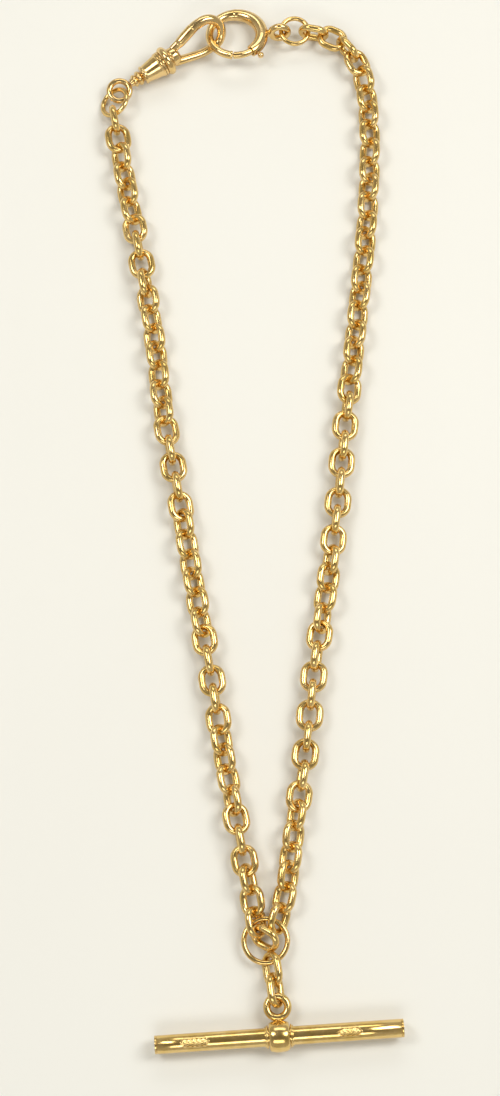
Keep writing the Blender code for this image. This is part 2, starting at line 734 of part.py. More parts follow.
def clip_lever(matrix):
    line = [(2.45, 1.15, 0.0), (3.75, 1.5, 0.0), (4.5, 1.72, 0.0), (6.0, 2.22, 0.0), (7.75, 2.74, 0.0)]
    radii = [LEVER_ROOT_RADIUS, LEVER_ROOT_RADIUS, 0.95, NOSE_RADIUS, NOSE_RADIUS]
    lever = wire("clip_lever", matrix, line, radii, CLASP_GOLD, 2)
    pivot = local(matrix, LEVER_PIVOT.x, LEVER_PIVOT.y)
    hole = cylinder("clip_lever_hole", pivot, 0.27, 4.0, CLASP_GOLD, 12)
    boolean(lever, hole, "DIFFERENCE")
    move_origin(lever, pivot.translation)
    cylinder("clip_lever_pin", pivot, 0.2, 3.2, CLASP_GOLD, 12)
    leaf = [(3.2, 0.3, 0.0), (2.5, 0.22, 0.0), (2.28, 0.3, 0.0), (2.4, 0.38, 0.0)]
    wire("clip_lever_spring", matrix, leaf, [0.08] * 4, SPRING_STEEL, 1)


def left_jump_frame():
    """Local X towards the swivel eye; the ring's near side is raised."""
    ahead = Vector((math.cos(LEFT_JUMP_HEADING), math.sin(LEFT_JUMP_HEADING), 0.0))
    side = UP.cross(ahead)
    across = side * math.cos(LEFT_JUMP_TILT) + UP * math.sin(LEFT_JUMP_TILT)
    return frame(LEFT_JUMP_AT, ahead, across)


def left_jump_ring(contact):
    ring = torus("left_jump_ring", left_jump_frame(), LEFT_JUMP_RADIUS, JUMP_WIRE, RING_GOLD, 20, 6)
    move_origin(ring, at(contact))


# ---------------------------------------------------------------- assembly

def build():
    (left_contacts, left_frames), left_sizes = left_layout()
    (right_contacts, right_frames), right_sizes = right_layout()
    centre_and_drop(left_contacts[0])
    chain_length("left", left_contacts, left_frames, left_sizes)
    chain_length("right", right_contacts, right_frames, right_sizes)
    t_bar()
    bolt_ring()
    right_jump_ring(right_contacts[-1])
    dog_clip()
    left_jump_ring(left_contacts[-1])


build()
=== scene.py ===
"""Pocket watch chain: the finished gold pieces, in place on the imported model.

Layout values are millimetres. The layout's zero is the middle of the T-bar, +Y runs up the chain
and +Z up from the table. Every piece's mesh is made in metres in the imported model's own frame.
"""

import math

import bmesh
import bpy
from mathutils import Matrix, Vector


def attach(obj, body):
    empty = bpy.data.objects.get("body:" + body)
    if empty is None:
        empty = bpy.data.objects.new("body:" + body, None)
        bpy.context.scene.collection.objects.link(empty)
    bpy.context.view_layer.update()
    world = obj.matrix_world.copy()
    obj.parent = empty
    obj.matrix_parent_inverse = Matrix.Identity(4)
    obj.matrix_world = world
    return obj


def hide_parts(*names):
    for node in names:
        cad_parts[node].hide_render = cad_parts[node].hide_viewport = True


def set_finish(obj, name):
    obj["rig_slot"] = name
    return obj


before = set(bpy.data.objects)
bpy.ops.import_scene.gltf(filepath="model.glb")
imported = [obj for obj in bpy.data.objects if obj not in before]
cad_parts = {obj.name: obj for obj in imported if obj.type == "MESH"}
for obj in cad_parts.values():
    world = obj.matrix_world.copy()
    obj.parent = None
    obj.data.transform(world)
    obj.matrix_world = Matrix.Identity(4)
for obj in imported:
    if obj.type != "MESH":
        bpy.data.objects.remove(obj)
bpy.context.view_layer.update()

MM = 0.001
OUTLINE_MIDDLE = Vector((-6.1, 98.7, 0.0))
UP = Vector((0.0, 0.0, 1.0))

# Chain links: oval loops of wire, thinner in the plane of the loop at the two ends.
LINK_LENGTH = 5.95
LINK_WIDTH = 5.0
LIMB_WIRE = 1.28
END_WIRE = 1.10
RUN_OVERLAP = 0.16  # how far neighbours that are joined in one run sink into each other
LEFT_GAP = 0.3  # clearance where one run hangs in the next
RIGHT_GAP = 0.35
LINK_INSIDE = LINK_LENGTH - 2 * END_WIRE

LEFT_LINKS = 43  # numbered 1 at the clip, and 43 at the centre ring
LEFT_TOP_RUN = 4
RIGHT_LINKS = 49  # numbered 2 at the bolt ring's jump ring, and 50 at the centre ring
RUN_LINKS = 3

# Routes of the two lengths, upwards from the centre ring.
LEFT_ROUTE = (
    (-3.9, 18.8), (-4.9, 24.9), (-7.1, 35.9), (-9.9, 50.2), (-12.3, 65.2), (-15.7, 83.3),
    (-18.3, 98.2), (-21.7, 116.8), (-23.6, 131.8), (-26.2, 146.8), (-29.1, 161.6),
    (-31.1, 172.8), (-32.2, 178.5), (-33.0, 182.5),
)
RIGHT_ROUTE = (
    (-0.5, 19.6), (1.2, 25.7), (2.8, 37.1), (5.1, 52.3), (6.7, 66.7), (9.0, 81.7), (11.0, 96.1),
    (12.9, 114.4), (15.4, 135.8), (17.4, 154.8), (18.2, 170.0), (17.9, 180.0), (16.9, 186.2),
    (14.6, 190.8), (11.6, 193.6), (7.6, 194.9), (2.0, 195.6),
)
# Roll of each length about its own line: (link number, degrees), where 0 lays an odd left link
# or an even right link flat, and its neighbours stand on edge.
LEFT_ROLL = (
    (1, 90), (2, 78), (3, 50), (6, 42), (8, 5), (9, 0), (11, 38), (17, 50), (19, 86), (21, 86),
    (23, 50), (28, 38), (30, 3), (32, 6), (34, 44), (36, 48), (39, 88), (41, 118), (43, 132),
)
RIGHT_ROLL = (
    (2, 88), (4, 84), (6, 50), (22, 45), (24, 80), (30, 88), (33, 52), (36, 20), (38, 3),
    (42, 0), (44, -20), (46, -46), (50, -50),
)

# Centre ring and the drop.
CENTRE_RING_AT = Vector((-2.415, 17.25, 2.1))
CENTRE_RING_RADIUS = 3.95
CENTRE_RING_WIRE = 1.0
CENTRE_RING_NORMAL = Vector((-0.026, -0.007, 1.0))
SPARE_LINK_AT = Vector((-2.56, 17.75, 2.28))
SPARE_LINK_HEADING = math.radians(-29.4)
SPARE_LINK_SLOPE = math.radians(20.9)
SPARE_LINK_ROLL = math.radians(-48.5)
DROP_LENGTH = 6.4
DROP_WIDTH = 5.0
DROP_LINKS = (
    # lower inside end, a point towards the upper one, roll in degrees
    ((-0.91, 10.11, 2.38), (-1.63, 14.45, 2.09), 55.6),
    ((-0.45, 6.37, 2.88), (-0.86, 9.97, 2.41), -62.7),
)

# T-bar: a tube with a turning bulb between two collars.
BAR_AT = Vector((0.0, 0.3, 2.8))
BAR_HEADING = math.radians(3.85)
BAR_LENGTH = 44.6
BAR_RADIUS = 1.65
BAR_BORE = 1.15
CAP_LIP = 0.35
CAP_PLUG = 2.0
BULB_RADIUS = 2.8
BULB_WIDTH = 3.7
COLLAR_RADIUS = 2.1
COLLAR_WIDTH = 0.6
TURN_GAP = 0.12  # bulb to bar and bulb to collars
FIXED_GAP = 0.05  # between pieces that are soldered or pressed together
BAR_EYE_RADIUS = 1.78
BAR_EYE_WIRE = 1.1

# Bolt ring: a tapering hollow ring with a sprung bolt across its mouth. Angles run from the eye.
BOLT_RING_AT = Vector((-8.1, 194.2, 2.95))
BOLT_RING_TILT = math.radians(15.5)
BOLT_RING_HEADING = math.radians(4.0)
BOLT_RING_RADIUS = 5.15
TUBE_THICK = 1.3
TUBE_THIN = 0.78
CAVITY_RADIUS = 0.86
BOLT_RADIUS = 0.68
MOUTH_FROM, MOUTH_TO = -100.0, -57.0
BOLT_TIP, BOLT_TAIL = -103.0, -26.0
SOCKET_END = -106.0
CAVITY_END = 64.0
KNOB_ANGLE = -50.0
BOLT_TRAVEL = 36.0
SLOT_WIDTH = 1.04
SLOT_RADIUS = 6.2
SPRING_TURNS = 6
BOLT_EYE_RADIUS = 1.6
BOLT_EYE_WIRE = 1.2
JUMP_RADIUS = 2.7
JUMP_WIRE = 0.96
RIGHT_JUMP_AT = Vector((3.6, 195.15, 2.75))
RIGHT_JUMP_NORMAL = Vector((0.056, 0.002, 1.0))

# Dog clip. Local X runs from the swivel eye to the hook's nose and local Y across the loop.
CLIP_AT = Vector((-22.0, 188.5, 3.05))
CLIP_HEADING = math.radians(33.5)
CLIP_SLOPE = math.radians(4.0)
CLIP_ROLL = math.radians(48.0)
SWIVEL_EYE_X = -10.7
SWIVEL_EYE_RADIUS = 2.0
SWIVEL_EYE_WIRE = 1.15
SWIVEL_EYE_ROLL = math.radians(-42.0)  # against the loop's roll, so that the eye faces up
LEVER_PIVOT = Vector((2.8, 1.1, 0.0))
ARM_RADIUS = 0.82
NOSE_RADIUS = 1.0
HOOK_BEND_AT = 10.1
HOOK_BEND_RADIUS = 2.95
LEFT_JUMP_AT = Vector((-31.82, 180.21, 2.18))
LEFT_JUMP_RADIUS = 2.85
LEFT_JUMP_HEADING = math.radians(72.0)
LEFT_JUMP_TILT = math.radians(-35.4)

# Material slots that the pieces take their finish from.
LINK_GOLD = "link_gold"
RING_GOLD = "ring_gold"
BAR_GOLD = "bar_gold"
CLASP_GOLD = "clasp_gold"
SPRING_STEEL = "spring_steel"

# Fineness of a finished link, along its wire and round it.
FINE_STEPS = 64
FINE_SIDES = 24
LIMB_FULLER = 0.1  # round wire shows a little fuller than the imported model's six-sided one
END_FULLER = 0.08
SEAM_DEPTH = 0.02  # the faint line where a link or a ring was closed
SEAM_HALF = 0.05
RING_SEAM_HALF = 0.09

# The hook's lower arm from its root: half thickness, and breadth against thickness.
ARM_THICKNESS = [0.9, 0.84, 0.8, 0.82, 0.84, 0.86]
ARM_BREADTH = [1.25, 1.3, 1.3, 1.2, 1.1, 1.05]

# Punched marks on the bar, without any characters: (place along the bar, length).
PUNCH_MARKS = ((-15.1, 5.2), (12.6, 4.3))
PUNCH_HALF = 0.82
PUNCH_DEPTH = 0.11
PUNCH_POINT = 0.75  # length of a mark's pointed end
PUNCH_RIM = (-0.1, 0.12)  # from outside its edge to inside it
PUNCH_RIM_HEIGHT = 0.06
PUNCH_BEADS = 0.85  # pitch of the beads inside
BAR_EDGE = 0.05  # the chamfer of the tube's ends


# ---------------------------------------------------------------- placing

def at(point):
    """The world place, in metres, of a layout point in millimetres."""
    return (Vector(point).to_3d() - OUTLINE_MIDDLE) * MM


def frame(point, x_axis, y_axis):
    """A matrix that puts local X and Y along two square directions at a layout point."""
    x = Vector(x_axis).normalized()
    z = x.cross(Vector(y_axis)).normalized()
    rotation = Matrix((x, z.cross(x), z)).transposed().to_4x4()
    return Matrix.Translation(at(point)) @ rotation


def local(matrix, x=0.0, y=0.0, z=0.0):
    """A frame moved along its own axes by millimetres."""
    return matrix @ Matrix.Translation(Vector((x, y, z)) * MM)


# ---------------------------------------------------------------- routes and rolls

def smooth_route(points, samples=60):
    """Close-set points of the smooth curve through given ones."""
    knots = [Vector(p) for p in points]
    ends = [2 * knots[0] - knots[1]] + knots + [2 * knots[-1] - knots[-2]]
    curve = []
    for before, start, end, after in zip(ends, ends[1:], ends[2:], ends[3:]):
        for i in range(samples):
            t = i / samples
            curve.append(0.5 * (
                2 * start + (end - before) * t
                + (2 * before - 5 * start + 4 * end - after) * t * t
                + (3 * start - before - 3 * end + after) * t ** 3
            ))
    return curve + [knots[-1]]


def step_along(curve, distances):
    """Points on a curve at set straight distances from one to the next."""
    found, index = [curve[0]], 0
    for distance in distances:
        last = found[-1]
        while index < len(curve) - 2 and (curve[index + 1] - last).length < distance:
            index += 1
        a, b = (curve[index] - last).length, (curve[index + 1] - last).length
        share = (distance - a) / (b - a)
        found.append(curve[index].lerp(curve[index + 1], share))
    return found


def roll_at(knots, number):
    """The roll of a length at one link, in radians, with its every second link square to it."""
    for (first, start), (last, end) in zip(knots, knots[1:]):
        if number <= last:
            share = (number - first) / (last - first)
            return math.radians(start + (end - start) * share)
    return math.radians(knots[-1][1])


def link_heights(rolls):
    """Each link's middle height, raised smoothly where links stand on edge."""
    side = (LINK_WIDTH - LIMB_WIRE) / 2
    lowest = [LIMB_WIRE / 2 + side * abs(math.sin(roll)) for roll in rolls]

    def near(values, i, reach):
        return values[max(i - reach, 0):i + reach + 1]

    raised = [max(near(lowest, i, 2)) for i in range(len(rolls))]
    return [sum(near(raised, i, 1)) / len(near(raised, i, 1)) for i in range(len(rolls))]


def run_sizes(count, top_run):
    """How many links each run has, upwards from the centre ring."""
    sizes = [RUN_LINKS] * ((count - top_run) // RUN_LINKS)
    return sizes + ([top_run] if top_run else [])


def link_frame(middle, along, turn):
    """A link's frame: local X along it and local Y across it, rolled about its own line."""
    side = UP.cross(along).normalized()
    across = side * math.cos(turn) - along.cross(side) * math.sin(turn)
    return frame(middle, along, across)


def chain_layout(route, sizes, gap, rolls, numbers):
    """Contact points, link frames and heights of one length, upwards from the centre ring."""
    breaks = {sum(sizes[:i]) for i in range(len(sizes) + 1)}
    slack = [gap if i in breaks else -RUN_OVERLAP for i in range(sum(sizes) + 1)]
    distances = [LINK_INSIDE - (a + b) / 2 for a, b in zip(slack, slack[1:])]
    flat = step_along(smooth_route(route), distances)
    turns = [roll_at(rolls, n) + (0 if (n - numbers[-1]) % 2 == 0 else math.pi / 2)
             for n in numbers]
    heights = link_heights(turns)
    levels = [heights[0]] + [(a + b) / 2 for a, b in zip(heights, heights[1:])] + [heights[-1]]
    contacts = [Vector((*p, z)) for p, z in zip(flat, levels)]
    frames = []
    for i, turn in enumerate(turns):
        low, high = contacts[i], contacts[i + 1]
        along = (high - low).normalized()
        middle = (low + high) / 2 + along * (slack[i + 1] - slack[i]) / 4
        frames.append(link_frame(middle, along, turn))
    return contacts, frames


def left_layout():
    numbers = list(range(LEFT_LINKS, 0, -1))
    sizes = run_sizes(LEFT_LINKS, LEFT_TOP_RUN)
    return chain_layout(LEFT_ROUTE, sizes, LEFT_GAP, LEFT_ROLL, numbers), sizes


def right_layout():
    numbers = list(range(RIGHT_LINKS + 1, 1, -1))
    lower = run_sizes(LEFT_LINKS, LEFT_TOP_RUN)
    upper = run_sizes(RIGHT_LINKS - LEFT_LINKS, 0)
    sizes = lower + upper
    return chain_layout(RIGHT_ROUTE, sizes, RIGHT_GAP, RIGHT_ROLL, numbers), sizes


def centre_ring_frame():
    tilt = UP.rotation_difference(CENTRE_RING_NORMAL).to_matrix().to_4x4()
    return Matrix.Translation(at(CENTRE_RING_AT)) @ tilt


def spare_link_frame():
    ahead = Vector((math.cos(SPARE_LINK_HEADING), math.sin(SPARE_LINK_HEADING), 0.0))
    along = ahead * math.cos(SPARE_LINK_SLOPE) + UP * math.sin(SPARE_LINK_SLOPE)
    return link_frame(SPARE_LINK_AT, along, SPARE_LINK_ROLL)


def drop_frames():
    """Each drop link's frame and the inside of its upper end, downwards from the ring."""
    frames = []
    inside = DROP_LENGTH - 2 * END_WIRE
    for low, towards, roll in DROP_LINKS:
        low = Vector(low)
        along = (Vector(towards) - low).normalized()
        frames.append((link_frame(low + along * inside / 2, along, math.radians(roll)),
                       low + along * inside))
    return frames


def bar_frame():
    """Local Z along the bar to its right end, and local X towards the eye."""
    along = Vector((math.cos(BAR_HEADING), math.sin(BAR_HEADING), 0.0))
    to_eye = UP.cross(along)
    return frame(BAR_AT, to_eye, along.cross(to_eye))


def bolt_ring_frame():
    """Local X towards the eye and local Z square to the ring."""
    ahead = Vector((math.cos(BOLT_RING_HEADING), math.sin(BOLT_RING_HEADING), 0.0))
    across = UP.cross(ahead)
    lowered = across * math.cos(BOLT_RING_TILT) - UP * math.sin(BOLT_RING_TILT)
    return frame(BOLT_RING_AT, ahead, lowered)


def arc_points(start, end, count, radius=BOLT_RING_RADIUS):
    """Points on the bolt ring's own circle, between two angles in degrees."""
    angles = [math.radians(start + (end - start) * i / (count - 1)) for i in range(count)]
    return [(radius * math.cos(a), radius * math.sin(a), 0.0) for a in angles]


def tube_radius(angle):
    """The ring's tube is thickest at the eye and thins towards the far side."""
    share = min(max((angle - 25.0) / 150.0, 0.0), 1.0)
    eased = share * share * (3 - 2 * share)
    taper = 0.12 * min(max((-angle - 10.0) / 47.0, 0.0), 1.0)
    return TUBE_THICK - taper - (TUBE_THICK - TUBE_THIN) * eased


def clip_frame():
    """Local X along the clip to its nose, local Y across the loop to the lever."""
    ahead = Vector((math.cos(CLIP_HEADING), math.sin(CLIP_HEADING), 0.0))
    side = UP.cross(ahead)
    along = ahead * math.cos(CLIP_SLOPE) + UP * math.sin(CLIP_SLOPE)
    lift = along.cross(side)
    across = side * math.cos(CLIP_ROLL) + lift * math.sin(CLIP_ROLL)
    return frame(CLIP_AT, along, across)


def across_to_up(matrix):
    """Turn a frame so that its local Z runs along its old local X."""
    return matrix @ Matrix.Rotation(math.pi / 2, 4, "Y")


def hook_line():
    """The hook's centre line and radii: lower arm, round end and nose."""
    arm = [(1.9, -1.25), (4.2, -1.95), (7.0, -2.75), (9.0, -2.95)]
    bend = []
    steps = 10
    for i in range(1, steps + 1):
        angle = math.radians(-90 + 180 * i / steps)
        bend.append((HOOK_BEND_AT + HOOK_BEND_RADIUS * math.cos(angle),
                     HOOK_BEND_RADIUS * math.sin(angle)))
    nose = [(8.9, 2.93), (7.95, 2.78)]
    points = [(x, y, 0.0) for x, y in arm + bend + nose]
    arm_radii = [1.0, 0.95, ARM_RADIUS, ARM_RADIUS]
    bend_radii = [ARM_RADIUS + (NOSE_RADIUS - ARM_RADIUS) * i / steps for i in range(steps)]
    return points, arm_radii + bend_radii + [NOSE_RADIUS, NOSE_RADIUS]


def left_jump_frame():
    """Local X towards the swivel eye; the ring's near side is raised."""
    ahead = Vector((math.cos(LEFT_JUMP_HEADING), math.sin(LEFT_JUMP_HEADING), 0.0))
    side = UP.cross(ahead)
    across = side * math.cos(LEFT_JUMP_TILT) + UP * math.sin(LEFT_JUMP_TILT)
    return frame(LEFT_JUMP_AT, ahead, across)


# ---------------------------------------------------------------- gold and steel

# Scales of the noise in the gold, per metre.
CLOUD_SCALE = 420.0
RUB_SCALE = 1500.0
HAIR_SCALE = 1400.0
DENT_SCALE = 700.0
HAIR_STRETCH = 14.0  # a scratch is this much longer than wide
HAIR_DEPTH = 0.00004
DENT_DEPTH = 0.00008
DENT_STRENGTH = 0.025


def node(tree, kind, **settings):
    made = tree.nodes.new(kind)
    for key, value in settings.items():
        setattr(made, key, value)
    return made


def noise(tree, vector, scale, detail=3.0, rough=0.5):
    made = node(tree, "ShaderNodeTexNoise")
    made.inputs["Scale"].default_value = scale
    made.inputs["Detail"].default_value = detail
    made.inputs["Roughness"].default_value = rough
    tree.links.new(vector, made.inputs["Vector"])
    return made.outputs["Fac"]


def spread(tree, value, low, high, start=0.3, end=0.7):
    """A texture's value brought from one span to another."""
    made = node(tree, "ShaderNodeMapRange")
    made.inputs["From Min"].default_value = start
    made.inputs["From Max"].default_value = end
    made.inputs["To Min"].default_value = low
    made.inputs["To Max"].default_value = high
    tree.links.new(value, made.inputs["Value"])
    return made.outputs["Result"]


def mixed(tree, share, first, second):
    """Two colours mixed by a value; either may be a plain colour or a socket."""
    made = node(tree, "ShaderNodeMix", data_type="RGBA")
    sockets = [s for s in made.inputs if s.type == "RGBA"]
    tree.links.new(share, made.inputs["Factor"])
    for socket, colour in zip(sockets, (first, second)):
        if isinstance(colour, tuple):
            socket.default_value = (*colour, 1.0)
        else:
            tree.links.new(colour, socket)
    return next(s for s in made.outputs if s.type == "RGBA")


def polished(name, bright, deep, rough, heading=0.0, scratch=0.03, wear=(0.95, 0.82, 0.55)):
    """Handled gold: cloudy colour, rubbed edges, fine scratches and shallow dents."""
    material = bpy.data.materials.new(name)
    material.use_nodes = True
    tree = material.node_tree
    shader = tree.nodes["Principled BSDF"]
    shader.inputs["Metallic"].default_value = 1.0
    coords = node(tree, "ShaderNodeTexCoord").outputs["Object"]
    turn = node(tree, "ShaderNodeMapping")
    turn.inputs["Rotation"].default_value = (0.0, 0.0, -heading)
    turn.inputs["Scale"].default_value = (1.0, HAIR_STRETCH, HAIR_STRETCH)
    tree.links.new(coords, turn.inputs["Vector"])

    cloud = spread(tree, noise(tree, coords, CLOUD_SCALE, 4.0, 0.6), 0.0, 1.0, 0.38, 0.64)
    colour = mixed(tree, cloud, bright, deep)
    shape = node(tree, "ShaderNodeNewGeometry")
    edge = spread(tree, shape.outputs["Pointiness"], 0.0, 0.4, 0.57, 0.7)
    colour = mixed(tree, edge, colour, wear)
    tree.links.new(colour, shader.inputs["Base Color"])

    rub = noise(tree, coords, RUB_SCALE, 5.0, 0.65)
    tree.links.new(spread(tree, rub, rough - 0.02, rough + 0.04), shader.inputs["Roughness"])

    hair = noise(tree, turn.outputs["Vector"], HAIR_SCALE, 2.0)
    dent = noise(tree, coords, DENT_SCALE, 2.0)
    fine = node(tree, "ShaderNodeBump")
    fine.inputs["Strength"].default_value = scratch
    fine.inputs["Distance"].default_value = HAIR_DEPTH
    tree.links.new(hair, fine.inputs["Height"])
    broad = node(tree, "ShaderNodeBump")
    broad.inputs["Strength"].default_value = DENT_STRENGTH
    broad.inputs["Distance"].default_value = DENT_DEPTH
    tree.links.new(dent, broad.inputs["Height"])
    tree.links.new(fine.outputs["Normal"], broad.inputs["Normal"])
    tree.links.new(broad.outputs["Normal"], shader.inputs["Normal"])
    return material


# ---------------------------------------------------------------- mesh making

def new_piece(name, matrix, made, slot, body, *nodes, sharp=38.0):
    """A finished piece from a bmesh in local millimetres, riding on a body for its CAD nodes."""
    bmesh.ops.recalc_face_normals(made, faces=made.faces)
    mesh = bpy.data.meshes.new(name)
    made.to_mesh(mesh)
    made.free()
    mesh.transform(matrix @ Matrix.Scale(MM, 4))
    mesh.shade_smooth()
    mesh.set_sharp_from_angle(angle=math.radians(sharp))
    mesh.materials.append(FINISHES[slot])
    obj = bpy.data.objects.new(name, mesh)
    bpy.context.scene.collection.objects.link(obj)
    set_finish(obj, slot)
    if body:
        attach(obj, body)
        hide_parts(*nodes)
    return obj


def skin(made, rings, closed_along, closed_round=True):
    """Faces between rings of vertices."""
    count = len(rings)
    for i in range(count if closed_along else count - 1):
        here, ahead = rings[i], rings[(i + 1) % count]
        size = len(here)
        for j in range(size if closed_round else size - 1):
            k = (j + 1) % size
            made.faces.new((here[j], here[k], ahead[k], ahead[j]))


def oval_into(made, matrix, length, width, seam=None):
    """One oval wire link in a frame, with a faint solder seam across one limb."""
    length, width = length + 2 * END_FULLER, width + LIMB_FULLER
    limb, end = LIMB_WIRE + LIMB_FULLER, END_WIRE + END_FULLER
    bend = (width - limb) / 2
    half_limb = length / 2 - bend - end / 2
    rings = []
    for i in range(FINE_STEPS):
        angle = math.tau * i / FINE_STEPS
        lean, rise = math.cos(angle), math.sin(angle)
        thin = 1 - (1 - end / limb) * lean * lean
        # The limbs' middles lie where the two half rings part.
        shift = half_limb * math.tanh(lean * 9.0)
        radius = limb / 2
        if seam is not None:
            away = abs((angle - seam + math.pi) % math.tau - math.pi) * bend
            radius -= SEAM_DEPTH * math.exp(-(away / SEAM_HALF) ** 2)
        ring = []
        for j in range(FINE_SIDES):
            around = math.tau * j / FINE_SIDES
            reach = bend + radius * math.cos(around) * thin
            point = Vector((lean * reach + shift, rise * reach, radius * math.sin(around)))
            ring.append(made.verts.new(matrix @ point))
        rings.append(ring)
    skin(made, rings, True)


def torus_of(radius, wire, seam=None, steps=96, sides=32):
    """A round wire ring, with a faint butt joint at one angle in degrees."""
    made = bmesh.new()
    rings = []
    for i in range(steps):
        angle = math.tau * i / steps
        thick = wire / 2
        if seam is not None:
            away = abs((angle - math.radians(seam) + math.pi) % math.tau - math.pi) * radius
            thick -= SEAM_DEPTH * math.exp(-(away / RING_SEAM_HALF) ** 2)
        ring = []
        for j in range(sides):
            around = math.tau * j / sides
            reach = radius + thick * math.cos(around)
            ring.append(made.verts.new((reach * math.cos(angle), reach * math.sin(angle),
                                        thick * math.sin(around))))
        rings.append(ring)
    skin(made, rings, True)
    return made


def rounded(profile, fillet, closed=False, steps=4):
    """A profile with its corners rounded off."""
    points = [Vector(p) for p in profile]
    count = len(points)
    out = []
    for i, point in enumerate(points):
        if not closed and i in (0, count - 1):
            out.append(point)
            continue
        before, after = points[i - 1], points[(i + 1) % count]
        back, ahead = before - point, after - point
        bend = back.angle(ahead)
        reach = min(fillet, back.length * 0.45, ahead.length * 0.45)
        if bend > math.radians(170):
            out.append(point)
            continue
        start, end = point + back.normalized() * reach, point + ahead.normalized() * reach
        for k in range(steps + 1):
            t = k / steps
            out.append(start * (1 - t) ** 2 + point * (2 * t * (1 - t)) + end * t * t)
    return [(p.x, p.y) for p in out]


def turned_of(profile, closed=False, steps=96):
    """A solid of revolution about local Z from (radius, height) points."""
    made = bmesh.new()
    rings = []
    poles = []
    for radius, height in profile:
        if radius < 1e-4:
            poles.append((len(rings), made.verts.new((0.0, 0.0, height))))
            continue
        rings.append([made.verts.new((radius * math.cos(math.tau * j / steps),
                                      radius * math.sin(math.tau * j / steps), height))
                      for j in range(steps)])
    skin(made, rings, closed)
    for place, pole in poles:
        ring = rings[0] if place == 0 else rings[-1]
        for j in range(steps):
            made.faces.new((pole, ring[j], ring[(j + 1) % steps]))
    return made


def sweep_of(points, radii, sides=24, dome=0.0, breadths=None):
    """A tube along a line in the XY plane, broader across the plane where breadths say so."""
    made = bmesh.new()
    line = [Vector(p) for p in points]
    breadths = breadths or [1.0] * len(line)
    rings = []
    last = len(line) - 1

    def section(middle, ahead, radius, breadth):
        side = UP.cross(ahead).normalized()
        lift = ahead.cross(side) * breadth
        return [made.verts.new(middle + (side * math.cos(math.tau * j / sides)
                                         + lift * math.sin(math.tau * j / sides))
                               * radius) for j in range(sides)]

    for i, middle in enumerate(line):
        ahead = (line[min(i + 1, last)] - line[max(i - 1, 0)]).normalized()
        if dome and i in (0, last):
            away = -ahead if i == 0 else ahead
            ends = []
            for k in range(1, 7):
                t = math.radians(15 * k)
                reach = radii[i] * (1 - dome + dome * math.sin(t))
                depth = radii[i] * dome * math.cos(t)
                ends.append(section(middle + away * depth, ahead, reach, breadths[i]))
            rings += ends if i == 0 else ends[::-1]
        else:
            rings.append(section(middle, ahead, radii[i], breadths[i]))
    skin(made, rings, False)
    made.faces.new(rings[0])
    made.faces.new(rings[-1])
    return made


def resampled(points, radii, count):
    """A line and its radii at even steps of a smooth curve through them."""
    knots = [Vector(p) for p in points]
    ends = [2 * knots[0] - knots[1]] + knots + [2 * knots[-1] - knots[-2]]
    sizes = [radii[0]] + list(radii) + [radii[-1]]
    spans = len(knots) - 1
    line, thick = [], []
    for i in range(count):
        place = spans * i / (count - 1)
        k = min(int(place), spans - 1)
        t = place - k
        a, b, c, d = ends[k:k + 4]
        line.append(0.5 * (2 * b + (c - a) * t + (2 * a - 5 * b + 4 * c - d) * t * t
                           + (3 * b - a - 3 * c + d) * t ** 3))
        thick.append(sizes[k + 1] + (sizes[k + 2] - sizes[k + 1]) * t)
    return line, thick


def cut(obj, made, matrix, operation="DIFFERENCE", sharp=38.0):
    """A solid cut from or joined to a piece."""
    other = new_piece("operand", matrix, made, obj["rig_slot"], None)
    modifier = obj.modifiers.new("Cut", "BOOLEAN")
    modifier.operation = operation
    modifier.object = other
    modifier.solver = "EXACT"
    bpy.context.view_layer.update()
    graph = bpy.context.evaluated_depsgraph_get()
    mesh = bpy.data.meshes.new_from_object(obj.evaluated_get(graph))
    obj.modifiers.clear()
    obj.data = mesh
    mesh.shade_smooth()
    mesh.set_sharp_from_angle(angle=math.radians(sharp))
    bpy.data.objects.remove(other, do_unlink=True)


def box_of(size):
    made = bmesh.new()
    bmesh.ops.create_cube(made, size=1.0)
    bmesh.ops.scale(made, vec=size, verts=made.verts)
    return made


# ---------------------------------------------------------------- camera, light and floor

CAMERA_AT = (0.00086, -0.11254, 0.43535)
CAMERA_TILT = math.radians(13.5)
VIEW_ANGLE = math.radians(26.0)
SENSOR = 36.0
FLOOR_LIGHT = (0.87, 0.87, 0.82)
FLOOR_DIM = (0.857, 0.855, 0.805)
FLOOR_DROP = 0.00004  # keeps the floor just clear of the links that rest on it
WORLD_SIDE = (0.94, 0.91, 0.85)
WORLD_TOP = (0.36, 0.32, 0.26)
WORLD_POWER = 0.5
WARM_WHITE = (1.0, 0.985, 0.95)
LIGHTS = (
    # name, place, size and power
    ("light_right", (0.34, 0.1, 0.55), (0.24, 0.34), 1.9),
    ("light_left", (-0.3, 0.1, 0.55), (0.18, 0.24), 1.05),
    ("light_far", (0.03, 0.55, 0.45), (0.5, 0.2), 0.8),
    ("light_near", (0.0, -0.5, 0.5), (0.4, 0.2), 0.85),
)


def camera():
    data = bpy.data.cameras.new("camera")
    data.sensor_width = SENSOR
    data.lens = SENSOR / 2 / math.tan(VIEW_ANGLE / 2)
    data.clip_start = 0.01
    made = bpy.data.objects.new("camera", data)
    made.location = CAMERA_AT
    made.rotation_euler = (CAMERA_TILT, 0.0, 0.0)
    bpy.context.scene.collection.objects.link(made)
    bpy.context.scene.camera = made


def soft_light(name, place, size, power):
    """A soft box that faces the middle of the object."""
    data = bpy.data.lights.new(name, "AREA")
    data.shape = "RECTANGLE"
    data.size, data.size_y = size
    data.energy = power
    data.color = WARM_WHITE
    made = bpy.data.objects.new(name, data)
    made.location = place
    made.rotation_euler = (-Vector(place)).to_track_quat("-Z", "Y").to_euler()
    bpy.context.scene.collection.objects.link(made)


